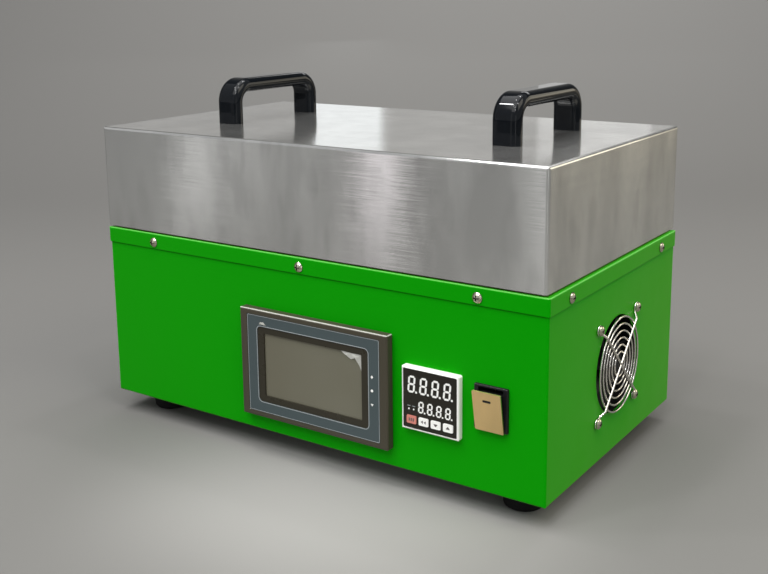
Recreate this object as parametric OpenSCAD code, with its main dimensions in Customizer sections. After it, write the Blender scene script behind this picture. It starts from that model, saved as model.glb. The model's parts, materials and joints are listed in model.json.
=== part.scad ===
// Tabletop reflow oven: a painted steel base with its controls and heated platen,
// and a lift-off stainless lid with two carrying handles.
// Working frame: X to the right, Y to the rear, Z up, zero at the middle of the box underside.

/* [Base box] */
// Width of the base over the cap skirt
box_w = 420; // [405:1:460]
// Depth of the base over the cap skirt
box_d = 240; // [234:1:280]
// Height from the box underside to the top of the cap
box_h = 149; // [147:1:170]
// Thickness of the painted steel sheet
sheet = 0.8; // [0.8:0.1:1.6]
// Outside radius of the folded sheet edges
fold_r = 1.4; // [1.4:0.1:3]
// Height of the cap skirt
skirt_h = 13; // [12:0.5:18]
// Clearance between nested sheet parts
sheet_gap = 0.1; // [0.05:0.05:0.2]
// Width of the return flange round the open bottom of the box
flange_w = 12; // [10:0.5:13]
// Distance of the front and rear cap screws from the middle one
cap_screw_x = 155.6; // [120:0.2:180]
// Distance of the side cap screws from the middle of the side
cap_screw_y = 86; // [60:1:100]
// Depth of the cap screws below the top of the cap
cap_screw_drop = 7.7; // [6.5:0.1:8.4]

/* [Feet] */
// Height of the feet below the box
foot_h = 18; // [12:0.5:25]
// Radius of a foot where it meets the floor
foot_r = 15; // [12:0.5:15.5]
// How much wider a foot is at the top
foot_flare = 1.5; // [0.5:0.1:1.8]
// Distance of the foot centres from the outer faces of the base
foot_inset = 33; // [33:0.5:40]

/* [Screws] */
// Radius of the M4 screw shanks
screw_r = 2; // [1.6:0.1:2.2]
// Radius of the pan heads
head_r = 4; // [3.4:0.1:4.3]
// Height of the pan heads
head_h = 2.6; // [2:0.1:3]
// Radial clearance of a screw in its hole
screw_clear = 0.15; // [0.05:0.05:0.3]
// Thickness of the nuts
nut_h = 3.2; // [2.4:0.1:4]

/* [Touch panel] */
// Width of the touch panel bezel
hmi_w = 141; // [132:1:150]
// Height of the touch panel bezel
hmi_h = 89; // [84:1:92]
// How far the bezel stands out of the box
hmi_proud = 7.5; // [5:0.1:9]
// Gap between the touch panel and the controller
hmi_gap = 10.4; // [9:0.1:20]
// Middle of the touch panel above the box underside
hmi_z = 58.8; // [55:0.1:62]
// Width of the bezel rim left and right of the overlay
hmi_rim = 7; // [4:0.1:8]
// Width of the bezel rim above and below the overlay
hmi_rim_v = 4.3; // [3:0.1:6]
// Width of the overlay band round the display window
overlay_band = 10.4; // [6:0.1:12]
// Height of the display window
window_h = 62; // [56:0.5:64]
// Width of the dark mask round the display
mask_w = 6.2; // [4:0.1:8]
// Depth of the touch panel housing behind the wall
hmi_depth = 34; // [25:1:45]

/* [Temperature controller] */
// Width and height of the controller frame
ctrl_w = 48; // [46:0.5:50]
// How far the frame stands out of the box
ctrl_proud = 5; // [4.6:0.1:8]
// Gap between the controller and the switch bezel
ctrl_gap = 10.3; // [8:0.1:14]
// Middle of the controller above the box underside
ctrl_z = 59; // [50:0.1:66]
// Depth of the controller case behind the wall
ctrl_depth = 72; // [60:1:90]
// Width of a key
key_w = 8.1; // [7:0.1:8.6]
// Height of a key
key_h = 6; // [5:0.1:7]
// Distance between neighbouring keys
key_pitch = 10.2; // [9.6:0.1:10.6]
// Height of the key row below the middle of the controller
key_drop = 15.8; // [14:0.1:16.5]
// Travel of a key
key_travel = 0.5; // [0.3:0.05:0.5]

/* [Rocker switch] */
// Width of the switch bezel
sw_w = 26.6; // [25.6:0.1:30]
// Height of the switch bezel
sw_h = 32.6; // [32:0.1:36]
// Thickness of the switch bezel
sw_t = 2.2; // [1.6:0.1:3]
// Distance of the switch middle from the right side of the base
sw_inset = 42.7; // [40:0.1:50]
// Middle of the switch above the box underside
sw_z = 64; // [50:0.5:90]
// Width of the metal rocker plate
plate_w = 22.2; // [19:0.1:24]
// Length of the metal rocker plate
plate_l = 30.4; // [28:0.1:31.6]
// Thickness of the metal rocker plate
plate_t = 1.2; // [0.8:0.1:1.6]
// Tilt of the rocker either side of the middle, in degrees
rock_tilt = 10.5; // [9:0.5:13]
// Radius of the rocker's pivot pins
pivot_r = 1.5; // [1.2:0.1:2]

/* [Fan and guard] */
// Width and height of the fan frame
fan_w = 80; // [76:1:84]
// Thickness of the fan
fan_t = 25; // [20:0.5:32]
// Distance between the fan screws
fan_pitch = 71.5; // [68:0.5:73]
// Height of the fan centre above the box underside
fan_z = 68.4; // [60:0.2:72]
// Radius of the fan opening
fan_hole_r = 37.8; // [34:0.2:39]
// Number of fan blades
blades = 7; // [5:1:9]
// Number of rings in the guard
guard_rings = 6; // [4:1:7]
// Radius of the outermost ring
guard_r = 36.5; // [32:0.5:37]
// Distance between neighbouring rings
guard_pitch = 5.4; // [4.4:0.1:5.6]
// Radius of the ring wire
ring_wire_r = 0.8; // [0.6:0.05:1]
// Radius of the two crossing wires
cross_wire_r = 1; // [0.8:0.05:1.2]
// Distance of the rings from the wall
guard_stand = 2.6; // [2:0.2:6]

/* [Heated well] */
// Distance between the side walls of the lid chamber and the well
well_side = 14.3; // [12:0.1:20]
// Distance between the front and rear walls of the lid chamber and the well
well_front = 12.3; // [12:0.1:18]
// Depth of the well below the top of the cap
well_depth = 40; // [36:1:41]
// Thickness of the stainless well sheet
well_t = 1; // [0.8:0.1:1.2]
// Gap between the platen and the well wall
platen_gap = 9; // [8:0.5:14]
// Thickness of the heated aluminium platen
platen_t = 14; // [12:0.5:15]
// Depth of the platen surface below the top of the cap
platen_drop = 6; // [5:0.5:7]
// Number of cartridge heaters in the platen
heaters = 6; // [4:1:8]
// Radius of a cartridge heater
heater_r = 4; // [3:0.5:4.5]
// Thickness of the insulation board on the well floor
board_t = 12; // [8:0.5:14]
// Height of the locating collar above the cap
collar_h = 8; // [4:0.5:12]

/* [Lid] */
// Width of the lid
lid_w = 418; // [400:1:440]
// Depth of the lid
lid_d = 242; // [234:1:262]
// Height of the lid shell
lid_h = 85.5; // [75:0.5:110]
// Thickness of the stainless lid sheet
lid_t = 1.2; // [0.8:0.1:1.6]
// Outside bend radius of the lid
lid_r = 2.2; // [1.8:0.1:3]
// Sideways offset of the lid as it stands on the base
lid_dx = -1.5; // [-2:0.1:2]
// Front-to-rear offset of the lid as it stands on the base
lid_dy = 1.5; // [-2:0.1:2]
// Height of the sealing gap between cap and lid
seal_gap = 1.5; // [1:0.1:3]
// Width of the flat seal
seal_w = 9; // [6:0.5:9]
// Thickness of the lid insulation above the chamber
lid_insul = 20; // [12:1:30]
// Thickness of the lid insulation at the sides
side_insul = 17.5; // [16:0.5:18]
// Thickness of the chamber liner
liner_t = 0.8; // [0.6:0.1:1]

/* [Handles] */
// Width of the handle section across the grip
grip_w = 23; // [16:0.5:26]
// Thickness of the handle section
grip_t = 12.2; // [11.2:0.1:16]
// Width of the flat on the sides of a grip
grip_flat = 0.4; // [0.2:0.1:5]
// Distance between the handle legs
handle_pitch = 103; // [90:1:120]
// Height of a handle above the lid
handle_h = 38.5; // [34:0.5:50]
// Inside radius of the handle corners
bend_r = 8.5; // [4:0.5:10]
// Distance of the left handle from the left face of the lid
left_inset = 81; // [50:0.5:90]
// Distance of the right handle from the right face of the lid
right_inset = 68.5; // [50:0.5:90]
// Distance of the handles behind the middle of the lid
handle_dy = 3; // [-6:0.5:6]

/* [Mains inlet] */
// Width of the inlet flange
inlet_w = 50; // [48:0.5:54]
// Height of the inlet flange
inlet_h = 38; // [36:0.5:42]
// Distance between the inlet screws
inlet_pitch = 40; // [38:0.5:42]
// Distance of the inlet middle from the right side of the base
inlet_inset = 60; // [56:1:80]
// Middle of the inlet above the box underside
inlet_z = 42; // [36:1:70]

/* [Hidden] */
$fn = 48;

// Colours
green = [0.05, 0.56, 0.05];
steel = [0.72, 0.72, 0.70];
chrome = [0.86, 0.84, 0.80];
black = [0.07, 0.07, 0.08];
rubber = [0.04, 0.04, 0.04];
bezel_brown = [0.27, 0.25, 0.22];
overlay_blue = [0.30, 0.34, 0.36];
display_grey = [0.40, 0.39, 0.34];
ivory = [0.93, 0.93, 0.90];
face_dark = [0.16, 0.15, 0.14];
key_red = [0.80, 0.45, 0.40];
gold = [0.72, 0.60, 0.38];
aluminium = [0.78, 0.79, 0.80];
fibre = [0.88, 0.85, 0.76];
ceramic = [0.94, 0.93, 0.90];
brass = [0.80, 0.66, 0.34];
board_green = [0.05, 0.32, 0.18];

// Cut allowance past a face
eps = 1;

// Box walls, inside the skirt of the cap
inner_r = fold_r - sheet + 0.4;
flange_r = 3;
cut_h = 6 * sheet;
wall_w = box_w - 2 * (sheet + sheet_gap);
wall_d = box_d - 2 * (sheet + sheet_gap);
wall_top = box_h - sheet;
room_w = wall_w - 2 * sheet;
room_d = wall_d - 2 * sheet;
hole_r = screw_r + screw_clear;
cap_screw_z = box_h - cap_screw_drop;
flange_line_x = room_w / 2 - flange_w / 2;
flange_line_y = room_d / 2 - flange_w / 2;
floor_z = 2 * sheet;
foot_x = box_w / 2 - foot_inset;
foot_y = box_d / 2 - foot_inset;

// Places of the panel parts, one after the other from the right side of the base
sw_x = box_w / 2 - sw_inset;
ctrl_x = sw_x - sw_w / 2 - ctrl_gap - ctrl_w / 2;
hmi_x = ctrl_x - ctrl_w / 2 - hmi_gap - hmi_w / 2;

// Touch panel
hmi_gasket_t = 0.8;
hmi_edge_r = 1.6;
hmi_cut_w = hmi_w - 9.4;
hmi_cut_h = hmi_h - 10.4;
hmi_fit = 0.3;
overlay_t = 0.4;
overlay_sink = 0.3;
overlay_gap = 0.3;
overlay_w = hmi_w - 2 * hmi_rim;
overlay_h = hmi_h - 2 * hmi_rim_v;
window_w = overlay_w - 2 * overlay_band;
mask_t = 1.2;
mask_sink = 0.8;
screen_t = 1.5;
screen_lap = 3;
clamp_w = 10;
clamp_l = 22;
clamp_h = 9;
clamp_t = 2;
clamp_screw_r = 1.5;
hmi_back = hmi_proud - mask_sink - mask_t - screen_t;

// Controller
ctrl_wall = 1.5;
ctrl_open = ctrl_w - 2 * ctrl_wall;
ctrl_fit = 0.2;
ctrl_face_t = 1.6;
ctrl_face_top = ctrl_proud - 0.4;
ctrl_face_back = ctrl_face_top - ctrl_face_t;
key_gap = 0.15;
key_top = ctrl_face_top + 0.6;
key_flange = 0.5;
key_flange_t = 0.8;
key_back = ctrl_face_back - key_gap - key_flange_t - 0.8;
tact_top = key_back - key_travel - 0.2;
tact_h = 3;
tact_w = 4.5;
tact_r = 1.6;
ctrl_cavity = 12;
board_sheet = 1.6;
post_r = 3;
plug_w = 30;
plug_h = 14;
plug_y = 6;
bracket_t = 10;
bracket_rim = 2.5;
arm_w = 16;
arm_t = 2;
arm_l = 20;
arm_gap = 0.2;

// Rocker switch
pivot_t = -1;
plate_over = 0.3;
rocker_back = (sw_t + plate_over + plate_l / 2 * sin(rock_tilt) - pivot_t) / cos(rock_tilt);
plate_reach = rocker_back + plate_t;
mark_w = 6.4;
mark_h = 1.9;
mark_sink = 0.3;
rocker_w = 18.6;
rocker_half = 13.4;
sw_body_w = sw_w - 4.8;
sw_body_h = sw_h - 2.8;
sw_wall = 1.2;
sw_window_h = sw_h - 3.2;
sw_cavity = 14;
sw_depth = 20;
pivot_clear = 0.05;
tab_t = 0.8;
tab_w = 6.3;
tab_l = 16;

// Fan
fan_flange_t = 4;
fan_duct_r = fan_w / 2 - 2;
hub_r = 16;
blade_tip = fan_duct_r - 1;
shaft_r = 1.5;
shaft_clear = 0.05;
motor_r = 17.5;
motor_t = 3;
rotor_gap = 1;
eyelet_wire_r = 0.9 * cross_wire_r;
eyelet_r = screw_r + eyelet_wire_r + 0.3;
weld = 0.5;
knee_bead = 1.06;
cross_n = guard_stand + ring_wire_r + cross_wire_r - weld;
guard_knee = 5;
blade_chord = 20;
blade_sag = 2.6;
blade_thick = 1.4;
blade_pitch = 42;

// Inside of the lid
lid_in_w = lid_w - 2 * lid_t;
lid_in_d = lid_d - 2 * lid_t;
liner_w = lid_in_w - 2 * side_insul;
liner_d = lid_in_d - 2 * side_insul;

// Heated well, clear of the lid chamber and of the walls of the base
well_room = 17;
well_w = min(liner_w - 2 * well_side, room_w - 2 * well_room);
well_d = min(liner_d - 2 * well_front, room_d - 2 * well_room);
pan_gap = 0.5;
pan_w = well_w - 2 * pan_gap;
pan_d = well_d - 2 * pan_gap;
pan_flange = 9;
pan_floor = box_h - well_depth;
pan_r = 6;
platen_top = box_h - platen_drop;
platen_w = pan_w - 2 * (well_t + platen_gap);
platen_d = pan_d - 2 * (well_t + platen_gap);
heater_pitch = platen_w / heaters;
heater_z = platen_top - platen_t / 2;
heater_fit = 0.05;
heater_l = platen_d - 8;
heater_tail = 5;
standoff_r = 7;
standoff_x = platen_w / 2 - 18;
standoff_y = platen_d / 2 - 16;
probe_r = 2.2;
collar_flange = 9;
collar_t = 1;
collar_screw_r = 1.5;
collar_head_r = 2.8;
collar_head_h = 1.6;
collar_line_x = well_w / 2 + collar_flange / 2;
collar_line_y = well_d / 2 + collar_flange / 2;
collar_screw_x = well_w / 2 - 30;
collar_screw_y = well_d / 2 - 30;

// Lid
lid_z = box_h + seal_gap;
lid_top = lid_z + lid_h;
seal_clear = 0.3;
seal_t = seal_gap - seal_clear;
liner_top = lid_top - lid_t - lid_insul;
liner_lip = 10;
liner_fit = 0.1;
liner_r = 8;
seal_line_w = lid_in_w - side_insul;
seal_line_d = lid_in_d - side_insul;
handle_y = lid_dy + handle_dy;
handle_lx = lid_dx - lid_w / 2 + left_inset;
handle_rx = lid_dx + lid_w / 2 - right_inset;
bolt_r = 2.4;
bolt_clear = 0.1;
bolt_depth = 18;
bolt_head_r = 4.2;
bolt_head_h = 3.5;
washer_r = 6.5;
washer_t = 1;

// Mains inlet
inlet_x = box_w / 2 - inlet_inset;
inlet_t = 2.5;
inlet_body_w = 28;
inlet_body_h = 33;
inlet_depth = 24;
socket_w = 24.2;
socket_h = 16.6;
socket_depth = 16;
socket_z = 6.2;
socket_chamfer = 4.5;
drawer_w = 24;
drawer_h = 8.4;
drawer_z = -9.6;
drawer_gap = 0.3;
drawer_l = 19;
drawer_lip = 1.6;
drawer_wall = 1.6;
pin_w = 4;
pin_t = 2;
pin_pitch = 7;
pin_rise = 2;

// Electronics on the bottom plate
psu_w = 110;
psu_d = 78;
psu_h = 36;
foot_room = 14;
board_gap = 4;
psu_x = -foot_x + foot_room + psu_w / 2;
psu_y = room_d / 4;
sink_w = 84;
sink_d = 96;
sink_h = 30;
sink_base = 5;
fin_t = 1.8;
fins = 12;
block_w = 70;
block_d = 22;
block_h = 17;
block_x = psu_x + psu_w / 2 + board_gap + block_w / 2;
block_y = 82;
sink_x = block_x + block_w / 2 + board_gap + sink_w / 2;
sink_y = 36;
relay_w = 45;
relay_d = 60;
relay_h = 23;
pcb_w = 90;
pcb_d = 66;
pcb_x = -foot_x + foot_room + pcb_w / 2;
pcb_y = -room_d / 4;
pcb_rise = 8;
pcb_inset = 5;
coil_w = 15;
coil_d = 19;
coil_h = 15;
coil_y = 20;
coil_pitch = 20;
can_r = 5;
can_h = 18;
can_x = -12;
can_y = -10;
can_pitch = 16;
chip_w = 24;
chip_h = 2.4;
chip_x = 26;
chip_y = -8;
strip_w = 60;
strip_d = 8;
strip_h = 9;
strip_x = -10;
strip_y = -27;
stud_room = 54;
stud_x = foot_x - stud_room;
stud_y = room_d / 2 - 24;
stud_r = 2.5;
stud_h = 18;

// Extents that fix the origin under the middle of the whole oven
left_reach = max(box_w / 2 + head_h, lid_w / 2 - lid_dx);
right_reach = max(box_w / 2 + head_h, wall_w / 2 + cross_n + knee_bead * cross_wire_r, lid_w / 2 + lid_dx);
plate_out = pivot_t + plate_reach * cos(rock_tilt) + plate_l / 2 * sin(rock_tilt);
front_reach = max(wall_d / 2 + plate_out, box_d / 2 + head_h, wall_d / 2 + hmi_proud);
inlet_out = inlet_t + max(head_h, drawer_lip);
rear_reach = max(box_d / 2 + head_h, lid_d / 2 + lid_dy, wall_d / 2 + inlet_out);
mid_x = (right_reach - left_reach) / 2;
mid_y = (rear_reach - front_reach) / 2;

// ---------- shared shapes ----------

// Moves the working frame to the floor, under the middle of the oven
module placed() {
    translate([-mid_x, -mid_y, foot_h]) children();
}

// Places a drawing on a wall: its X along the wall, its Y up, its Z outwards
module on_front(x, z) {
    translate([x, -wall_d / 2, z]) rotate([90, 0, 0]) children();
}
module on_rear(x, z) {
    translate([x, wall_d / 2, z]) rotate([90, 0, 180]) children();
}
module on_right(y, z) {
    translate([wall_w / 2, y, z]) rotate([90, 0, 90]) children();
}
module on_left(y, z) {
    translate([-wall_w / 2, y, z]) rotate([90, 0, -90]) children();
}

// Rounded rectangle with true arcs
module rrect(w, h, r) {
    square([w - 2 * r, h], center = true);
    square([w, h - 2 * r], center = true);
    for (sx = [-1, 1], sy = [-1, 1])
        translate([sx * (w / 2 - r), sy * (h / 2 - r)]) circle(r = r);
}

// Plate with rounded corners, standing on Z = 0
module plate(w, d, h, r) {
    linear_extrude(h) rrect(w, d, r);
}

// Flat ring between two rounded rectangles
module frame_ring(w, d, h, r, in_w, in_d, in_r) {
    linear_extrude(h) difference() {
        rrect(w, d, r);
        rrect(in_w, in_d, in_r);
    }
}

// Upright profile with its two upper corners rounded
module shoulder(w, h, r) {
    translate([-w / 2, 0]) square([w, h - r]);
    translate([-w / 2 + r, 0]) square([w - 2 * r, h]);
    for (s = [-1, 1]) translate([s * (w / 2 - r), h - r]) circle(r = r);
}

// Block with rounded upright corners and rounded upper edges
module folded(w, d, h, r) {
    intersection() {
        plate(w, d, h, r);
        rotate([90, 0, 0]) linear_extrude(d + 2, center = true) shoulder(w, h, r);
        rotate([90, 0, 90]) linear_extrude(w + 2, center = true) shoulder(d, h, r);
    }
}

// Domed head with a cross recess, its seat at Z = 0
module pan_head(r, h) {
    dome = 1.25 * r;
    difference() {
        rotate_extrude() intersection() {
            square([r, h]);
            translate([0, h - dome]) circle(r = dome);
        }
        for (a = [0, 90]) rotate([0, 0, a])
            translate([-0.55 * r, -0.12 * r, 0.5 * h]) cube([1.1 * r, 0.24 * r, h]);
    }
}

// Screw with its head above Z = 0 and its shank below
module screw(r, length, hr, hh) {
    pan_head(hr, hh);
    translate([0, 0, -length]) cylinder(r = r, h = length + 0.2);
}

// Hexagon nut round a shank, standing on Z = 0
module nut(r, h) {
    difference() {
        cylinder(r = 2.1 * r, h = h, $fn = 6);
        translate([0, 0, -eps]) cylinder(r = r, h = h + 2 * eps);
    }
}

// Straight piece of wire between two points
module wire(a, b, r) {
    d = b - a;
    translate(a) rotate([0, acos(d[2] / norm(d)), atan2(d[1], d[0])]) cylinder(r = r, h = norm(d));
}

// Children at the four corners of a rectangle with half sizes x and y
module corners(x, y) {
    for (sx = [-1, 1], sy = [-1, 1]) translate([sx * x, sy * y]) children();
}

// ---------- base box ----------

module cap_screw_places() {
    for (x = [-cap_screw_x, 0, cap_screw_x]) {
        on_front(x, cap_screw_z) children();
        on_rear(x, cap_screw_z) children();
    }
    for (y = [-cap_screw_y, cap_screw_y]) {
        on_right(y, cap_screw_z) children();
        on_left(y, cap_screw_z) children();
    }
}

module flange_screw_places() {
    for (x = [-0.6, 0, 0.6], s = [-1, 1]) translate([x * room_w / 2, s * flange_line_y]) children();
    for (s = [-1, 1]) translate([s * flange_line_x, 0]) children();
}

// Slots in the left wall that let the cooling air in
module vent_slots() {
    for (i = [-5:5]) translate([i * 8, 0, -cut_h / 2]) plate(3.4, 52, cut_h, 1.6);
}

module base_shell() color(green) difference() {
    translate([0, 0, wall_top]) mirror([0, 0, 1]) folded(wall_w, wall_d, wall_top, fold_r);
    translate([0, 0, sheet]) plate(room_w, room_d, wall_top, inner_r);
    translate([0, 0, -eps]) plate(room_w - 2 * flange_w, room_d - 2 * flange_w, sheet + 2 * eps, flange_r);
    cap_screw_places() translate([0, 0, -cut_h / 2]) cylinder(r = hole_r, h = cut_h);
    flange_screw_places() translate([0, 0, -eps]) cylinder(r = hole_r, h = 3 * sheet);
    on_front(hmi_x, hmi_z) translate([0, 0, -cut_h / 2]) plate(hmi_cut_w, hmi_cut_h, cut_h, 1);
    on_front(ctrl_x, ctrl_z) translate([0, 0, -cut_h / 2])
        plate(ctrl_open + ctrl_fit, ctrl_open + ctrl_fit, cut_h, 0.6);
    on_front(sw_x, sw_z) translate([0, 0, -cut_h / 2])
        plate(sw_body_w + 0.4, sw_body_h + 0.4, cut_h, 0.6);
    on_right(0, fan_z) translate([0, 0, -cut_h / 2]) {
        cylinder(r = fan_hole_r, h = cut_h);
        corners(fan_pitch / 2, fan_pitch / 2) cylinder(r = hole_r, h = cut_h);
    }
    on_left(0, fan_z) vent_slots();
    on_rear(inlet_x, inlet_z) translate([0, 0, -cut_h / 2]) {
        plate(inlet_body_w + 0.4, inlet_body_h + 0.4, cut_h, 1);
        for (s = [-1, 1]) translate([s * inlet_pitch / 2, 0]) cylinder(r = hole_r, h = cut_h);
    }
}

module bottom_plate() color(steel) translate([0, 0, sheet]) difference() {
    plate(room_w - 0.6, room_d - 0.6, sheet, 2);
    flange_screw_places() translate([0, 0, -eps]) cylinder(r = hole_r, h = 4);
    corners(foot_x, foot_y) translate([0, 0, -eps]) cylinder(r = hole_r, h = 4);
    translate([stud_x, stud_y, -eps]) cylinder(r = stud_r + screw_clear, h = 4);
    for (i = [-7:7]) translate([i * 8, -room_d / 4, -eps]) plate(3.4, 40, 4, 1.6);
}

module deck_cap() color(green) difference() {
    translate([0, 0, box_h - skirt_h]) folded(box_w, box_d, skirt_h, fold_r);
    translate([0, 0, box_h - skirt_h - eps])
        plate(box_w - 2 * sheet, box_d - 2 * sheet, skirt_h - sheet + eps, inner_r);
    translate([0, 0, box_h - 2 * sheet]) plate(well_w, well_d, 4 * sheet, pan_r);
    cap_screw_places() translate([0, 0, -cut_h / 2]) cylinder(r = hole_r, h = cut_h);
    collar_screw_places() translate([0, 0, box_h - 3 * sheet])
        cylinder(r = collar_screw_r + screw_clear, h = cut_h);
}

module cap_screws() color(chrome) cap_screw_places()
    translate([0, 0, sheet + sheet_gap]) screw(screw_r, 8, head_r, head_h);

module bottom_screws() color(chrome) flange_screw_places() {
    rotate([180, 0, 0]) screw(screw_r, 2 * sheet + nut_h + 1, head_r, head_h);
    translate([0, 0, floor_z]) nut(screw_r, nut_h);
}

// ---------- feet ----------

foot_top = foot_h + sheet;
foot_round = 3;
foot_bore = 5;
foot_floor = 6;

module foot(sx, sy) color(rubber) translate([sx * foot_x, sy * foot_y, -foot_h]) difference() {
    rotate_extrude() union() {
        polygon([
            [0, 0], [foot_r - foot_round, 0], [foot_r, foot_round],
            [foot_r + foot_flare, foot_top], [0, foot_top]
        ]);
        translate([foot_r - foot_round, foot_round]) circle(r = foot_round);
    }
    translate([0, 0, -eps]) cylinder(r = foot_bore, h = foot_top - foot_floor + eps);
    cylinder(r = hole_r, h = foot_top + eps);
}

module foot_front_left() foot(-1, -1);
module foot_front_right() foot(1, -1);
module foot_rear_left() foot(-1, 1);
module foot_rear_right() foot(1, 1);

module foot_screws() color(chrome) corners(foot_x, foot_y) {
    translate([0, 0, sheet - foot_floor]) rotate([180, 0, 0])
        screw(screw_r, foot_floor + sheet + nut_h + 1, head_r, head_h);
    translate([0, 0, floor_z]) nut(screw_r, nut_h);
}

// ---------- touch panel ----------

module hmi_gasket() color(rubber) on_front(hmi_x, hmi_z)
    frame_ring(hmi_w - 2, hmi_h - 2, hmi_gasket_t, 2, hmi_cut_w, hmi_cut_h, 1);

module hmi_bezel() color(bezel_brown) on_front(hmi_x, hmi_z) difference() {
    translate([0, 0, hmi_gasket_t]) folded(hmi_w, hmi_h, hmi_proud - hmi_gasket_t, hmi_edge_r);
    translate([0, 0, -eps]) plate(hmi_cut_w, hmi_cut_h, hmi_back + eps, 1);
    plate(window_w, window_h, hmi_proud + eps, 3.5);
    translate([0, 0, hmi_proud - overlay_t - overlay_sink]) plate(overlay_w, overlay_h, 2, 1.2);
}

module hmi_overlay() color(overlay_blue) on_front(hmi_x, hmi_z)
    translate([0, 0, hmi_proud - overlay_t - overlay_sink])
    frame_ring(
        overlay_w - 2 * overlay_gap, overlay_h - 2 * overlay_gap, overlay_t, 1,
        window_w, window_h, 3.5
    );

module hmi_mask() color(black) on_front(hmi_x, hmi_z)
    translate([0, 0, hmi_back + screen_t])
    frame_ring(
        window_w - 0.2, window_h - 0.2, mask_t, 3.4,
        window_w - 2 * mask_w, window_h - 2 * (mask_w - 1), 1
    );

module hmi_screen() color(display_grey) on_front(hmi_x, hmi_z) translate([0, 0, hmi_back])
    plate(window_w - 2 * mask_w + 2 * screen_lap, window_h - 2 * mask_w + 2 * screen_lap, screen_t, 1.5);

module hmi_housing() color(black) on_front(hmi_x, hmi_z) difference() {
    translate([0, 0, -hmi_depth])
        plate(hmi_cut_w - 2 * hmi_fit, hmi_cut_h - 2 * hmi_fit, hmi_depth + hmi_back, 1);
    for (i = [-6:6]) translate([i * 7, hmi_cut_h / 2, -hmi_depth + 10])
        cube([3, 4, 14], center = true);
    for (i = [-4:4]) translate([i * 9, 0, -hmi_depth]) cube([4, hmi_cut_h * 0.5, 3], center = true);
}

// Brackets on the housing, each with a screw that presses on the back of the wall
module hmi_clamps() color(chrome) on_front(hmi_x, hmi_z)
    for (sx = [-1, 1], side = [0, 1]) mirror([0, side, 0])
        translate([sx * hmi_cut_w * 0.32, hmi_cut_h / 2 - hmi_fit, -sheet - clamp_l]) {
            translate([-clamp_w / 2, 0, 0]) cube([clamp_w, clamp_t, clamp_l - 5]);
            translate([-clamp_w / 2, 0, 0]) cube([clamp_w, clamp_h, clamp_t + 1]);
            translate([0, clamp_h - 3.5, -3]) cylinder(r = clamp_screw_r, h = clamp_l + 3);
        }

// ---------- temperature controller ----------

key_x = [for (i = [0:3]) (i - 1.5) * key_pitch];

module ctrl_frame() color(ivory) on_front(ctrl_x, ctrl_z) difference() {
    folded(ctrl_w, ctrl_w, ctrl_proud, 1.6);
    translate([0, 0, -eps]) plate(ctrl_open, ctrl_open, ctrl_proud + 2 * eps, 1.2);
}

module ctrl_face() color(face_dark) on_front(ctrl_x, ctrl_z) translate([0, 0, ctrl_face_back])
    difference() {
        plate(ctrl_open - 0.1, ctrl_open - 0.1, ctrl_face_t, 1.1);
        for (x = key_x) translate([x, -key_drop, -eps])
            plate(key_w + 2 * key_gap, key_h + 2 * key_gap, ctrl_face_t + 2 * eps, 1);
    }

module ctrl_case() color(black) on_front(ctrl_x, ctrl_z) difference() {
    translate([0, 0, -ctrl_depth])
        plate(ctrl_open - ctrl_fit, ctrl_open - ctrl_fit, ctrl_depth + ctrl_face_back, 1.3);
    translate([0, 0, -ctrl_cavity]) plate(ctrl_open - 3, ctrl_open - 3, ctrl_cavity + ctrl_proud, 0.5);
    for (i = [-2:2]) translate([i * 8, 0, -ctrl_depth]) cube([5, ctrl_open * 0.8, 8], center = true);
    for (i = [-3:3], s = [-1, 1]) translate([i * 5, s * ctrl_open / 2, -ctrl_depth / 2])
        cube([2, 2, 26], center = true);
}

module ctrl_board() color(board_green) on_front(ctrl_x, ctrl_z) {
    board_z = tact_top - tact_h - board_sheet;
    translate([0, 0, board_z]) plate(ctrl_open - 3.4, ctrl_open - 3.4, board_sheet, 0.5);
    translate([0, 0, -ctrl_cavity]) cylinder(r = post_r, h = ctrl_cavity + board_z);
    translate([0, plug_y, -ctrl_cavity]) plate(plug_w, plug_h, ctrl_cavity + board_z, 1);
    for (x = key_x) translate([x, -key_drop, tact_top - tact_h]) {
        plate(tact_w, tact_w, tact_h - 0.6, 0.3);
        cylinder(r = tact_r, h = tact_h);
    }
}

module ctrl_bracket() color(black) on_front(ctrl_x, ctrl_z)
    translate([0, 0, -sheet - bracket_t]) {
        frame_ring(
            ctrl_w + 2 * bracket_rim, ctrl_w + 2 * bracket_rim, bracket_t, 2,
            ctrl_open, ctrl_open, 1.3
        );
        for (s = [-1, 1]) translate([0, s * (ctrl_open / 2 + arm_gap + arm_t / 2), 1 - arm_l / 2])
            cube([arm_w, arm_t, arm_l], center = true);
    }

module key(i, tint) color(tint) on_front(ctrl_x, ctrl_z) translate([key_x[i], -key_drop, 0]) {
    translate([0, 0, ctrl_face_back - key_gap - 0.2])
        plate(key_w, key_h, key_top - ctrl_face_back + key_gap + 0.2, 0.9);
    translate([0, 0, ctrl_face_back - key_gap - key_flange_t])
        plate(key_w + 2 * key_flange, key_h + 2 * key_flange, key_flange_t, 0.9);
    translate([0, 0, key_back]) cylinder(r = 1.4, h = key_flange_t + 0.8);
}

module key_1() key(0, key_red);
module key_2() key(1, ivory);
module key_3() key(2, ivory);
module key_4() key(3, ivory);

// ---------- rocker switch ----------

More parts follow.
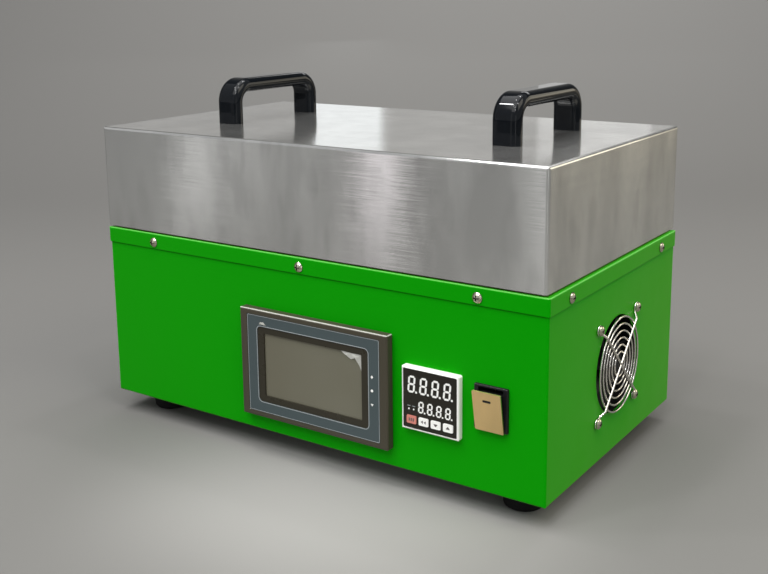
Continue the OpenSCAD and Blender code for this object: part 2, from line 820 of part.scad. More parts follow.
module switch_housing() color(black) on_front(sw_x, sw_z) difference() {
    union() {
        folded(sw_w, sw_h, sw_t, 1);
        translate([0, 0, -sw_depth]) plate(sw_body_w, sw_body_h, sw_depth + 0.5, 0.6);
    }
    translate([0, 0, -sw_cavity]) plate(sw_body_w - 2 * sw_wall, sw_body_h - 2 * sw_wall, sw_cavity, 0.5);
    translate([0, 0, -eps]) plate(sw_body_w - 2 * sw_wall, sw_window_h, sw_t + 2 * eps, 0.5);
    translate([0, 0, pivot_t]) rotate([0, 90, 0])
        cylinder(r = pivot_r + pivot_clear, h = sw_body_w + 2, center = true);
    terminal_places() cube([tab_t + 0.1, tab_w + 0.1, 30], center = true);
}

// Drawing plane of the rocker: X along the pivot, Y up the plate, Z out of it
module tilted() {
    on_front(sw_x, sw_z) translate([0, 0, pivot_t]) rotate([rock_tilt, 0, 0]) children();
}

module switch_rocker() color(black) tilted() {
    rotate([90, 0, 90]) linear_extrude(rocker_w, center = true) polygon([
        [-rocker_half, rocker_back], [rocker_half, rocker_back],
        [rocker_half - 1.6, 3], [rocker_half - 2.4, -3], [6, -8],
        [-6, -8], [-rocker_half + 2.4, -3], [-rocker_half + 1.6, 3]
    ]);
    rotate([0, 90, 0]) cylinder(r = pivot_r, h = sw_body_w - 0.4, center = true);
}

module switch_plate() color(gold) tilted() translate([0, 0, rocker_back]) difference() {
    plate(plate_w, plate_l, plate_t, 0.8);
    translate([0, plate_l * 0.28, plate_t - mark_sink]) plate(mark_w, mark_h, plate_t, 0.6);
}

module terminal_places() {
    for (sx = [-1, 1], sy = [-1, 1]) translate([sx * 5, sy * 9, -sw_cavity - tab_l / 2]) children();
}

module switch_terminals() color(brass) on_front(sw_x, sw_z)
    terminal_places() cube([tab_t, tab_w, tab_l], center = true);

// ---------- fan and guard ----------

module fan_place() {
    on_right(0, fan_z) translate([0, 0, -sheet - fan_t]) children();
}

module fan_frame() color(black) fan_place() difference() {
    union() {
        plate(fan_w, fan_w, fan_flange_t, 4);
        translate([0, 0, fan_t - fan_flange_t]) plate(fan_w, fan_w, fan_flange_t, 4);
        cylinder(r = fan_duct_r + 1.4, h = fan_t);
        corners(fan_pitch / 2, fan_pitch / 2) cylinder(r = 4.1, h = fan_t);
    }
    difference() {
        translate([0, 0, -eps]) cylinder(r = fan_duct_r, h = fan_t + 2 * eps);
        translate([0, 0, -eps]) cylinder(r = motor_r, h = motor_t + eps);
        for (a = [45:90:315]) rotate([0, 0, a])
            translate([motor_r - 2, -2, -eps]) cube([fan_duct_r - motor_r + 4, 4, motor_t + eps]);
        cylinder(r = 4.5, h = fan_t - 9);
    }
    translate([0, 0, motor_t]) cylinder(r = shaft_r + shaft_clear, h = fan_t);
    corners(fan_pitch / 2, fan_pitch / 2) translate([0, 0, -eps])
        cylinder(r = hole_r, h = fan_t + 2 * eps);
}

// Blade section: a cambered strip, its chord along X and its middle at zero
module blade_section() {
    bow = blade_chord * blade_chord / (8 * blade_sag) + blade_sag / 2;
    intersection() {
        translate([0, blade_sag / 2 - bow]) difference() {
            circle(r = bow + blade_thick / 2);
            circle(r = bow - blade_thick / 2);
        }
        square([blade_chord, 4 * blade_sag], center = true);
    }
}

module fan_rotor() color(black) fan_place() {
    low = motor_t + rotor_gap;
    high = fan_t - 1.5;
    blade_x = blade_chord / 2 * cos(blade_pitch);
    root = sqrt(pow(hub_r - 0.4, 2) - blade_x * blade_x);
    tip = sqrt(pow(blade_tip, 2) - blade_x * blade_x);
    difference() {
        translate([0, 0, low]) cylinder(r = hub_r, h = high - low);
        translate([0, 0, low - eps]) cylinder(r = hub_r - 1.6, h = high - low - 1.6 + eps);
    }
    translate([0, 0, motor_t + 0.5]) cylinder(r = shaft_r, h = high - motor_t - 1);
    for (i = [0:blades - 1]) rotate([0, 0, i * 360 / blades])
        translate([root, 0, (low + high) / 2]) rotate([90, 0, 90]) rotate([0, 0, blade_pitch])
            linear_extrude(tip - root) blade_section();
}

// One crossing wire of the guard with an eyelet at each end
module cross_wire(a) {
    reach = fan_pitch / sqrt(2);
    flat = reach - head_r - 1.2;
    knee = flat - guard_knee;
    rotate([0, 0, a]) {
        wire([-knee, 0, cross_n], [knee, 0, cross_n], cross_wire_r);
        for (s = [-1, 1]) {
            translate([s * knee, 0, cross_n]) sphere(r = knee_bead * cross_wire_r);
            wire([s * knee, 0, cross_n], [s * flat, 0, knee_bead * cross_wire_r], cross_wire_r);
            translate([s * flat, 0, knee_bead * cross_wire_r]) sphere(r = knee_bead * cross_wire_r);
            wire(
                [s * flat, 0, eyelet_wire_r], [s * (reach - eyelet_r), 0, eyelet_wire_r],
                0.9 * eyelet_wire_r
            );
            translate([s * reach, 0, eyelet_wire_r]) rotate_extrude()
                translate([eyelet_r, 0]) circle(r = eyelet_wire_r);
        }
    }
}

module fan_guard() color(chrome) on_right(0, fan_z) {
    for (i = [0:guard_rings - 1]) translate([0, 0, guard_stand]) rotate_extrude()
        translate([guard_r - i * guard_pitch, 0]) circle(r = ring_wire_r);
    cross_wire(45);
    cross_wire(-45);
}

module fan_screws() color(chrome) on_right(0, fan_z) corners(fan_pitch / 2, fan_pitch / 2) {
    translate([0, 0, 2 * eyelet_wire_r])
        screw(screw_r, 2 * eyelet_wire_r + sheet + fan_t + nut_h + 1, head_r, head_h);
    translate([0, 0, -sheet - fan_t - nut_h]) nut(screw_r, nut_h);
}

// ---------- heated well ----------

module collar_screw_places() {
    for (s = [-1, 1]) {
        for (x = [-collar_screw_x, 0, collar_screw_x]) translate([x, s * collar_line_y]) children();
        for (y = [-collar_screw_y, collar_screw_y]) translate([s * collar_line_x, y]) children();
    }
}

module well_pan() color(steel) difference() {
    union() {
        translate([0, 0, pan_floor]) plate(pan_w, pan_d, well_depth - sheet, pan_r);
        translate([0, 0, wall_top - well_t])
            plate(pan_w + 2 * pan_flange, pan_d + 2 * pan_flange, well_t, pan_r + pan_flange);
    }
    translate([0, 0, pan_floor + well_t])
        plate(pan_w - 2 * well_t, pan_d - 2 * well_t, well_depth, pan_r - well_t);
    collar_screw_places() translate([0, 0, wall_top - well_t - eps])
        cylinder(r = collar_screw_r + screw_clear, h = well_t + 2 * eps);
    corners(standoff_x, standoff_y) translate([0, 0, pan_floor - eps])
        cylinder(r = hole_r, h = well_t + 2 * eps);
}

module well_board() color(fibre) translate([0, 0, pan_floor + well_t]) difference() {
    plate(pan_w - 2 * well_t - 1, pan_d - 2 * well_t - 1, board_t, pan_r - well_t);
    corners(standoff_x, standoff_y) translate([0, 0, -eps])
        cylinder(r = standoff_r + 0.2, h = board_t + 2 * eps);
}

module heater_places() {
    for (i = [0:heaters - 1])
        translate([(i - (heaters - 1) / 2) * heater_pitch, platen_d / 2, heater_z])
            rotate([90, 0, 0]) children();
}

module platen() color(aluminium) difference() {
    translate([0, 0, platen_top - platen_t]) plate(platen_w, platen_d, platen_t, 5);
    heater_places() translate([0, 0, -eps]) cylinder(r = heater_r + heater_fit, h = heater_l + eps);
    corners(standoff_x, standoff_y) translate([0, 0, platen_top - platen_t - eps])
        cylinder(r = screw_r + 0.05, h = 9 + eps);
    translate([platen_w / 2, 0, heater_z]) rotate([0, -90, 0]) translate([0, 0, -eps])
        cylinder(r = probe_r + heater_fit, h = heater_pitch / 2 - heater_r - 1 + eps);
}

module cartridge_heaters() color(chrome) heater_places() {
    cylinder(r = heater_r, h = heater_l - 1);
    translate([0, 0, -heater_tail]) cylinder(r = heater_r - 0.8, h = heater_tail + 0.2);
}

module platen_standoffs() color(ceramic) corners(standoff_x, standoff_y) {
    low = pan_floor + well_t;
    high = platen_top - platen_t;
    difference() {
        translate([0, 0, low]) cylinder(r = standoff_r, h = high - low);
        translate([0, 0, low - eps]) cylinder(r = hole_r, h = high - low + 2 * eps);
    }
    translate([0, 0, pan_floor]) rotate([180, 0, 0])
        screw(screw_r, high - pan_floor + 8, head_r, head_h);
}

module thermocouple() color(chrome) translate([platen_w / 2, 0, heater_z]) rotate([0, 90, 0]) {
    depth = heater_pitch / 2 - heater_r - 1.5;
    translate([0, 0, -depth]) cylinder(r = probe_r, h = depth + 1);
    cylinder(r = 4, h = 3, $fn = 6);
    translate([0, 0, 3]) cylinder(r = 1.5, h = 3);
}

module locating_collar() color(steel) translate([0, 0, box_h]) difference() {
    union() {
        plate(well_w + 2 * collar_flange, well_d + 2 * collar_flange, collar_t, pan_r + collar_flange);
        plate(well_w, well_d, collar_h, pan_r);
    }
    translate([0, 0, -eps])
        plate(well_w - 2 * collar_t, well_d - 2 * collar_t, collar_h + 2 * eps, pan_r - collar_t);
    collar_screw_places() translate([0, 0, -eps])
        cylinder(r = collar_screw_r + screw_clear, h = collar_t + 2 * eps);
}

module collar_screws() color(chrome) collar_screw_places() {
    translate([0, 0, box_h + collar_t])
        screw(collar_screw_r, collar_t + sheet + well_t + 4, collar_head_r, collar_head_h);
    translate([0, 0, wall_top - well_t - 2.4]) nut(collar_screw_r, 2.4);
}

module deck_seal() color(rubber) translate([lid_dx, lid_dy, box_h])
    frame_ring(
        seal_line_w + seal_w, seal_line_d + seal_w, seal_t, liner_r + seal_w,
        seal_line_w - seal_w, seal_line_d - seal_w, liner_r
    );

// ---------- lid ----------

module lid_place() {
    translate([lid_dx, lid_dy, 0]) children();
}

module handle_bolt_places() {
    for (x = [handle_lx, handle_rx], s = [-1, 1])
        translate([x, handle_y + s * handle_pitch / 2]) children();
}

module lid_shell() color(steel) difference() {
    lid_place() translate([0, 0, lid_z]) difference() {
        folded(lid_w, lid_d, lid_h, lid_r);
        translate([0, 0, -eps]) plate(lid_in_w, lid_in_d, lid_h - lid_t + eps, lid_r - lid_t + 0.4);
    }
    handle_bolt_places() translate([0, 0, lid_top - lid_t - eps])
        cylinder(r = bolt_r + bolt_clear, h = lid_t + 2 * eps);
}

module lid_liner() color(steel) lid_place() difference() {
    union() {
        translate([0, 0, lid_z]) plate(liner_w, liner_d, liner_top - lid_z, liner_r);
        translate([0, 0, lid_z])
            plate(lid_in_w - 2 * liner_fit, lid_in_d - 2 * liner_fit, liner_lip, lid_r - lid_t + 0.4);
    }
    translate([0, 0, lid_z - eps])
        plate(
            liner_w - 2 * liner_t, liner_d - 2 * liner_t,
            liner_top - lid_z - liner_t + eps, liner_r - liner_t
        );
    difference() {
        translate([0, 0, lid_z + liner_t])
            plate(
                lid_in_w - 2 * liner_fit - 2 * liner_t, lid_in_d - 2 * liner_fit - 2 * liner_t,
                liner_lip, 1
            );
        translate([0, 0, lid_z]) plate(liner_w, liner_d, lid_h, liner_r);
    }
}

module lid_insulation() color(fibre) difference() {
    lid_place() {
        difference() {
            translate([0, 0, lid_z + liner_lip + 0.3])
                plate(lid_in_w - 0.4, lid_in_d - 0.4, lid_h - lid_t - liner_lip - 0.6, 2);
            translate([0, 0, lid_z]) plate(liner_w + 0.4, liner_d + 0.4, liner_top - lid_z + 0.2, liner_r);
        }
    }
    handle_bolt_places() translate([0, 0, lid_top - lid_t - bolt_head_h - washer_t - 1])
        cylinder(r = washer_r + 0.5, h = bolt_head_h + washer_t + 2);
}

// U handle standing on Z = 0, its grip along Y
module handle() {
    grip_r = (grip_t - grip_flat) / 2;
    arc_r = bend_r + grip_t / 2;
    leg_h = handle_h - grip_t / 2 - arc_r;
    difference() {
        union() {
            for (s = [-1, 1]) {
                translate([0, s * handle_pitch / 2, 0]) linear_extrude(leg_h) rrect(grip_w, grip_t, grip_r);
                mirror([0, s < 0 ? 0 : 1, 0]) translate([0, arc_r - handle_pitch / 2, leg_h])
                    rotate([0, 90, 0]) rotate([0, 0, 180])
                        rotate_extrude(angle = 90) translate([arc_r, 0]) rrect(grip_t, grip_w, grip_r);
            }
            translate([0, 0, leg_h + arc_r]) rotate([90, 0, 0])
                linear_extrude(handle_pitch - 2 * arc_r, center = true) rrect(grip_w, grip_t, grip_r);
        }
        for (s = [-1, 1]) translate([0, s * handle_pitch / 2, -eps])
            cylinder(r = bolt_r + 0.05, h = bolt_depth + eps);
    }
}

module handle_left() color(black) translate([handle_lx, handle_y, lid_top]) handle();
module handle_right() color(black) translate([handle_rx, handle_y, lid_top]) handle();

module handle_screws() color(chrome) handle_bolt_places() translate([0, 0, lid_top - lid_t]) {
    rotate([180, 0, 0]) difference() {
        cylinder(r = washer_r, h = washer_t);
        translate([0, 0, -eps]) cylinder(r = bolt_r, h = washer_t + 2 * eps);
    }
    translate([0, 0, -washer_t]) rotate([180, 0, 0])
        screw(bolt_r, bolt_depth + lid_t + washer_t - 1, bolt_head_r, bolt_head_h);
}

// ---------- electronics ----------

module power_supply() color(aluminium) translate([psu_x, psu_y, floor_z]) difference() {
    plate(psu_w, psu_d, psu_h, 1);
    translate([psu_w / 2 - 9, 0, psu_h - 6]) cube([20, psu_d - 8, 14], center = true);
    for (i = [-4:3], j = [-1:1]) translate([i * 9, j * 18, psu_h - 1.5]) plate(4, 12, 4, 1.8);
    for (j = [-4:4]) translate([psu_w / 2 - 14, j * 7.6, psu_h - 15]) cube([6, 5, 6], center = true);
}

module heatsink() color(aluminium) translate([sink_x, sink_y, floor_z]) {
    translate([0, 0, sink_h - sink_base]) plate(sink_w, sink_d, sink_base, 1);
    for (i = [0:fins - 1])
        translate([i * (sink_w - fin_t) / (fins - 1) - sink_w / 2, -sink_d / 2, 0])
            cube([fin_t, sink_d, sink_h - sink_base + 0.5]);
}

module solid_state_relay() color(ivory) translate([sink_x, sink_y, floor_z + sink_h]) {
    difference() {
        plate(relay_w, relay_d, relay_h, 2);
        for (s = [-1, 1]) translate([0, s * (relay_d / 2 - 4), relay_h - 5])
            cube([relay_w + 2, 14, 16], center = true);
    }
    for (sx = [-1, 1], sy = [-1, 1]) translate([sx * 14, sy * (relay_d / 2 - 6), relay_h - 13])
        pan_head(3.4, 3);
}

module control_board() color(board_green) translate([pcb_x, pcb_y, floor_z]) {
    corners(pcb_w / 2 - pcb_inset, pcb_d / 2 - pcb_inset)
        cylinder(r = post_r, h = pcb_rise + 0.01, $fn = 6);
    translate([0, 0, pcb_rise]) plate(pcb_w, pcb_d, board_sheet, 2);
    translate([0, 0, pcb_rise + board_sheet - 0.01]) {
        for (i = [-1.5:1.5]) translate([i * coil_pitch, coil_y]) plate(coil_w, coil_d, coil_h, 0.5);
        for (i = [-1:1]) translate([can_x + i * can_pitch, can_y]) cylinder(r = can_r, h = can_h);
        translate([chip_x, chip_y]) plate(chip_w, chip_w, chip_h, 0.4);
        translate([strip_x, strip_y]) plate(strip_w, strip_d, strip_h, 0.4);
    }
}

module terminal_block() color(ivory) translate([block_x, block_y, floor_z]) difference() {
    plate(block_w, block_d, block_h, 1);
    for (i = [-3:3]) translate([i * 9.2, 0, block_h]) {
        for (s = [-1, 1]) translate([0, s * 6, -6]) cylinder(r = 2.6, h = 8);
        cube([7.4, 3, 6], center = true);
    }
}

// ---------- mains inlet ----------

// Outline of the appliance socket with its two cut corners
module socket_outline() {
    polygon([
        [-socket_w / 2, -socket_h / 2], [socket_w / 2, -socket_h / 2],
        [socket_w / 2, socket_h / 2 - socket_chamfer], [socket_w / 2 - socket_chamfer, socket_h / 2],
        [-socket_w / 2 + socket_chamfer, socket_h / 2], [-socket_w / 2, socket_h / 2 - socket_chamfer]
    ]);
}

module inlet_body() color(black) on_rear(inlet_x, inlet_z) difference() {
    union() {
        folded(inlet_w, inlet_h, inlet_t, 1.2);
        translate([0, 0, -inlet_depth]) plate(inlet_body_w, inlet_body_h, inlet_depth + 0.5, 1);
    }
    translate([0, socket_z, inlet_t - socket_depth]) linear_extrude(socket_depth + eps) socket_outline();
    translate([0, drawer_z, inlet_t - drawer_l - 1])
        plate(drawer_w + 2 * drawer_gap, drawer_h + 2 * drawer_gap, drawer_l + 2 + eps, 0.6);
    for (s = [-1, 1]) translate([s * inlet_pitch / 2, 0, -eps]) cylinder(r = hole_r, h = inlet_t + 2 * eps);
    for (x = [-pin_pitch, 0, pin_pitch])
        translate([x, socket_z + (x == 0 ? pin_rise : -pin_rise), -inlet_depth])
            cube([pin_t, pin_w, 30], center = true);
}

module inlet_pins() color(brass) on_rear(inlet_x, inlet_z)
    for (x = [-pin_pitch, 0, pin_pitch])
        translate([x, socket_z + (x == 0 ? pin_rise : -pin_rise), -inlet_depth / 2 - 4])
            cube([pin_t, pin_w, inlet_depth + 8], center = true);

module inlet_screws() color(chrome) on_rear(inlet_x, inlet_z)
    for (s = [-1, 1]) translate([s * inlet_pitch / 2, 0, 0]) {
        translate([0, 0, inlet_t]) screw(screw_r, inlet_t + sheet + nut_h + 1, head_r, head_h);
        translate([0, 0, -sheet - nut_h]) nut(screw_r, nut_h);
    }

module fuse_drawer() color(black) on_rear(inlet_x, inlet_z) translate([0, drawer_z, inlet_t]) difference() {
    union() {
        translate([0, 0, -drawer_l]) plate(drawer_w, drawer_h, drawer_l + 0.1, 0.5);
        translate([0, 0, 0.1]) plate(drawer_w, drawer_h, drawer_lip - 0.1, 0.5);
    }
    translate([0, drawer_wall, -drawer_l / 2 - 1])
        cube([drawer_w - 2 * drawer_wall, drawer_h, drawer_l - 6], center = true);
    translate([0, -drawer_h / 2, drawer_lip]) cube([8, 2, 1.6], center = true);
}

module earth_stud() color(brass) translate([stud_x, stud_y, 0]) {
    translate([0, 0, sheet - 2]) cylinder(r = stud_r, h = stud_h);
    translate([0, 0, sheet - 3.2]) cylinder(r = 2 * stud_r, h = 3.2, $fn = 6);
    translate([0, 0, floor_z]) cylinder(r = 2 * stud_r, h = 3.6, $fn = 6);
    translate([0, 0, floor_z + 4.4]) cylinder(r = 2 * stud_r, h = 3.6, $fn = 6);
    translate([0, 0, floor_z + 3.5]) cylinder(r = 2.2 * stud_r, h = 1);
}

placed() base_shell();
placed() bottom_plate();
placed() deck_cap();
placed() cap_screws();
placed() bottom_screws();
placed() foot_front_left();
placed() foot_front_right();
placed() foot_rear_left();
placed() foot_rear_right();
placed() foot_screws();
placed() hmi_gasket();
placed() hmi_bezel();
placed() hmi_overlay();
placed() hmi_mask();
placed() hmi_screen();
placed() hmi_housing();
placed() hmi_clamps();
placed() ctrl_frame();
placed() ctrl_face();
placed() ctrl_case();
placed() ctrl_board();
placed() ctrl_bracket();
placed() key_1();
placed() key_2();
placed() key_3();
placed() key_4();
placed() switch_housing();
placed() switch_rocker();
placed() switch_plate();
placed() switch_terminals();
placed() fan_frame();
placed() fan_rotor();
placed() fan_guard();
placed() fan_screws();
placed() well_pan();
placed() well_board();
placed() platen();
placed() cartridge_heaters();
placed() platen_standoffs();
placed() thermocouple();
placed() locating_collar();
placed() collar_screws();
placed() deck_seal();
placed() lid_shell();
placed() lid_liner();
placed() lid_insulation();
placed() handle_left();
placed() handle_right();
placed() handle_screws();
placed() power_supply();
placed() heatsink();
placed() solid_state_relay();
placed() control_board();
placed() terminal_block();
placed() inlet_body();
placed() inlet_pins();
placed() inlet_screws();
placed() fuse_drawer();
placed() earth_stud();
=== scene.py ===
"""Looks of the benchtop reflow oven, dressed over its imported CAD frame."""

import json
import math

import bmesh
import bpy
from mathutils import Matrix, Vector


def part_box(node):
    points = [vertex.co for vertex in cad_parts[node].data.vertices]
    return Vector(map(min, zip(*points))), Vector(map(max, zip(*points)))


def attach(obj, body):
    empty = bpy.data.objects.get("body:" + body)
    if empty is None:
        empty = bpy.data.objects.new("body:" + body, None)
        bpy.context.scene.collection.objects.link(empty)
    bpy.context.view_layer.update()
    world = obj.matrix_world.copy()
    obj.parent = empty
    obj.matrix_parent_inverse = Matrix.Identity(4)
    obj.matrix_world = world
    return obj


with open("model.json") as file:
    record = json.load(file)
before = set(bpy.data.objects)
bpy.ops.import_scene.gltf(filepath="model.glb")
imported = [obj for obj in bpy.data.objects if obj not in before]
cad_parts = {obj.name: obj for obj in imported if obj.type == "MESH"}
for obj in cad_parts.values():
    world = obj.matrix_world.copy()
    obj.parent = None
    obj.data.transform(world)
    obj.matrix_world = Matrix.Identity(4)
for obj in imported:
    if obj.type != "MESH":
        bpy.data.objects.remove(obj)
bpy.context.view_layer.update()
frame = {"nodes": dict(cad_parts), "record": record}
MM = 0.001


# ---------- materials ----------

LOOKS = {}


class Look:
    """A node material round one Principled shader; its patterns follow the piece, in metres.

    LOOKS keeps each look by its name. The look of a CAD part has the name of the part's slot in the record.
    """

    def __init__(self, name, rough, metal=0.0, **sockets):
        self.mat = bpy.data.materials.new(name)
        self.mat.use_nodes = True
        self.tree = self.mat.node_tree
        self.bsdf = self.tree.nodes["Principled BSDF"]
        self.put("Roughness", rough)
        self.put("Metallic", metal)
        for key, value in sockets.items():
            self.put(key.replace("_", " "), value)
        self.coords = self.node("ShaderNodeTexCoord").outputs["Object"]
        LOOKS[name] = self

    def fill(self, socket, value):
        """Links another node's output to a socket, or sets the socket to a plain value."""
        if isinstance(value, bpy.types.NodeSocket):
            self.tree.links.new(value, socket)
        elif socket.type == "RGBA":
            socket.default_value = (*value, 1)
        else:
            socket.default_value = value

    def put(self, name, value):
        """Fills one of the shader's own sockets."""
        self.fill(self.bsdf.inputs[name], value)

    def node(self, kind, sockets=(), **settings):
        """A new node with some of its sockets filled, by name or by number."""
        node = self.tree.nodes.new(kind)
        for key, value in settings.items():
            setattr(node, key, value)
        for key, value in dict(sockets).items():
            self.fill(node.inputs[key], value)
        return node

    def normal(self):
        return self.node("ShaderNodeNewGeometry").outputs["Normal"]

    def split(self, vector):
        """A vector's three parts, by the names X, Y and Z."""
        return self.node("ShaderNodeSeparateXYZ", {0: vector}).outputs

    def calc(self, operation, *values):
        return self.node("ShaderNodeMath", enumerate(values), operation=operation).outputs[0]

    def vector_calc(self, operation, a, b=None):
        """One step of vector arithmetic; SCALE takes a number, which has a socket of its own."""
        sockets = {0: a}
        if b is not None:
            sockets["Scale" if operation == "SCALE" else 1] = b
        node = self.node("ShaderNodeVectorMath", sockets, operation=operation)
        return node.outputs["Value" if operation == "DISTANCE" else "Vector"]

    def noise(self, scale, detail=2.0, stretch=(1, 1, 1), roughness=0.5, turn=(0, 0, 0)):
        """Noise from 0 to 1; stretch makes it finer along an axis, and turn tilts it."""
        mapping = self.node("ShaderNodeMapping", {"Vector": self.coords, "Scale": stretch, "Rotation": turn})
        place = mapping.outputs["Vector"]
        sockets = {"Vector": place, "Scale": scale, "Detail": detail, "Roughness": roughness}
        return self.node("ShaderNodeTexNoise", sockets).outputs["Fac"]

    def spread(self, source, low, high, start=0.3, end=0.7, **settings):
        """Goes from low to high while the source goes from start to end."""
        sockets = {"Value": source, "From Min": start, "From Max": end, "To Min": low, "To Max": high}
        return self.node("ShaderNodeMapRange", sockets, **settings).outputs["Result"]

    def mix(self, factor, a, b):
        """Blends two colours, which are the node's sockets 6 and 7; the result is its output 2."""
        return self.node("ShaderNodeMix", {0: factor, 6: a, 7: b}, data_type="RGBA").outputs[2]

    def fold_highlight_mask(self, amount, start, end):
        """The amount at rounded edges that face up, and 0 on flat faces; it masks painted highlights.

        A surface counts as facing up while its normal's Z goes from start to end.
        """
        normal = self.split(self.normal())
        flatness = self.calc("ABSOLUTE", normal["Z"])
        for axis in "XY":
            flatness = self.calc("MAXIMUM", flatness, self.calc("ABSOLUTE", normal[axis]))
        rounded_edge = self.spread(flatness, amount, 0.0, start=0.78, end=0.97)
        facing_up = self.spread(normal["Z"], 0.0, 1.0, start, end)
        return self.calc("MULTIPLY", rounded_edge, facing_up)

    def color(self, a, b, factor):
        """Two colours blended by a pattern."""
        self.put("Base Color", self.mix(factor, a, b))

    def rough(self, source, low, high):
        self.put("Roughness", self.spread(source, low, high))

    def bump(self, source, strength, depth):
        """Raises the surface by a pattern, and returns the normal that this makes."""
        node = self.node("ShaderNodeBump", {"Strength": strength, "Distance": depth, "Height": source})
        self.put("Normal", node.outputs["Normal"])
        return node.outputs["Normal"]


def srgb(r, g, b):
    """An 8-bit screen colour as linear values."""
    return tuple(((c / 255 + 0.055) / 1.055) ** 2.4 if c > 10 else c / 255 / 12.92 for c in (r, g, b))


def shade(color, factor):
    return tuple(min(1.0, c * factor) for c in color)


def moulded(name, color, rough, grain, depth, vary, gloss=0.3):
    """Moulded plastic or rubber: a fine grain and slow changes of tone."""
    look = Look(name, rough, Specular_IOR_Level=gloss)
    look.color(shade(color, 1 - vary), shade(color, 1 + vary), look.noise(18, detail=3))
    look.rough(look.noise(60, detail=3), rough * 0.86, rough * 1.16)
    look.bump(look.noise(grain), 0.35, depth)
    return look


def metal(name, color, rough, vary=0.08, grain=400, depth=0.01 * MM):
    """Bare or plated metal with faint handling marks."""
    look = Look(name, rough, metal=1.0)
    look.color(shade(color, 1 - vary), shade(color, 1 + vary), look.noise(40, detail=4))
    look.rough(look.noise(150, detail=3), rough * 0.75, rough * 1.3)
    look.bump(look.noise(grain), 0.2, depth)
    return look


def recess_shaded_metal(name, color, rough):
    """Metal with painted shade: darker in its recesses and where it meets its neighbours."""
    shade_reach = 1.2 * MM
    look = metal(name, color, rough)
    openness = look.node("ShaderNodeAmbientOcclusion", {"Distance": shade_reach}).outputs["AO"]
    # Painted shade: the colour darkens to 5 % where ambient occlusion finds the metal hemmed in.
    look.color(shade(color, 0.05), color, look.spread(openness, 0.0, 1.0, start=0.35, end=0.95))


def brush_direction(look, level):
    """The way that a face is brushed: level on upright faces, and along X on level ones."""
    level_line = look.vector_calc("CROSS_PRODUCT", look.normal(), (0, 0, 1))
    along_x = look.node("ShaderNodeCombineXYZ", {"X": level}).outputs[0]
    return look.vector_calc("ADD", level_line, along_x)


def brush_streaks(look, level, fine, along):
    """Noise drawn out along the brushing; fine is its scale across the streaks."""
    upright = look.noise(1, 3, (along, along, fine), 0.65)
    flat = look.noise(1, 3, (along, fine, fine), 0.65)
    upright_part = look.calc("MULTIPLY", upright, look.calc("SUBTRACT", 1.0, level))
    return look.calc("ADD", upright_part, look.calc("MULTIPLY", flat, level))


def sway_normal(look, normal, direction, streaks, amount):
    """Tips the normal along the brushing, streak by streak, so that reflections get ragged ends."""
    offset = look.calc("MULTIPLY", look.calc("SUBTRACT", streaks, 0.5), amount)
    swayed = look.vector_calc("ADD", normal, look.vector_calc("SCALE", direction, offset))
    look.put("Normal", look.vector_calc("NORMALIZE", swayed))


def brushed(name, color, rough, fine, along, aniso, metal=1.0, depth=0.012 * MM,
            ragged=0.0, smooth_top=0.0, smears=0.0):
    """Brushed sheet: streaks, cloudy changes of tone and, where asked for, darker smears.

    Level faces are smoother by the share smooth_top.
    """
    look = Look(name, 0.28, metal, Anisotropic=aniso, Anisotropic_Rotation=0.25)
    level = look.calc("ABSOLUTE", look.split(look.normal())["Z"])
    direction = brush_direction(look, level)
    look.put("Tangent", direction)
    streaks = brush_streaks(look, level, fine, along)
    clouds = look.noise(1, 4, (24, 24, 7))

    cloudy = look.spread(clouds, 0.0, 1.0, start=0.38, end=0.62)
    tone = look.mix(cloudy, shade(color, 0.88), shade(color, 1.07))
    wiped = look.noise(1, 2, (70, 70, 26), 0.45, turn=(0.25, 0.3, 0))
    look.color(tone, shade(color, 0.6), look.spread(wiped, 0.0, smears, start=0.52, end=0.66))

    pattern = look.calc("ADD", look.calc("MULTIPLY", streaks, 0.75), look.calc("MULTIPLY", clouds, 0.25))
    calm = look.calc("SUBTRACT", 1.0, look.calc("MULTIPLY", level, smooth_top))
    look.put("Roughness", look.calc("MULTIPLY", look.spread(pattern, *rough), calm))

    normal = look.bump(streaks, 0.3, depth)
    if ragged:
        sway_normal(look, normal, direction, streaks, ragged)


def painted_sheet(name, color, fold_highlight):
    """Satin paint, with painted highlights on its upper folds and a painted shadow just under the cap's
    skirt.
    """
    look = Look(name, 0.36, Specular_IOR_Level=0.06, Specular_Tint=(1.0, 0.95, 0.35),
                Sheen_Weight=0.22, Sheen_Roughness=0.35, Sheen_Tint=(1.0, 0.85, 0.25))
    height = look.split(look.coords)["Z"]
    skirt_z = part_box("deck_cap")[0].z
    # Painted shadow: just below the skirt's edge the wall darkens towards 15 % of the paint's colour (the
    # mask joint).
    shadow = look.spread(height, 0.0, 0.75, start=skirt_z - 1.3 * MM, end=skirt_z - 0.1 * MM)
    joint = look.calc("MULTIPLY", shadow, look.calc("LESS_THAN", height, skirt_z))
    tone = look.mix(look.noise(6, detail=3), shade(color, 0.96), shade(color, 1.04))
    # Painted highlight: rounded folds that face up are blended towards a pale green.
    tone = look.mix(look.fold_highlight_mask(0.55, start=0.1, end=0.35), tone, fold_highlight)
    look.color(tone, shade(color, 0.15), joint)
    look.rough(look.noise(25, detail=3), 0.3, 0.4)
    look.bump(look.noise(1100), 0.25, 0.02 * MM)


def display_glass():
    look = Look("display_glass", 0.18, Specular_IOR_Level=0.35)
    look.color(srgb(99, 96, 81), srgb(108, 106, 92), look.spread(look.noise(9), 0.0, 1.0))
    look.rough(look.noise(30, detail=3), 0.14, 0.24)


def clear_film():
    look = Look("clear_film", 0.25, Alpha=0.55, Coat_Weight=0.4)
    look.color(srgb(190, 190, 180), srgb(226, 226, 220), look.noise(240))


# Green paint; fold_highlight is the pale green of the painted highlights on its folds.
painted_sheet("green_paint", srgb(1, 145, 4), fold_highlight=srgb(130, 205, 110))

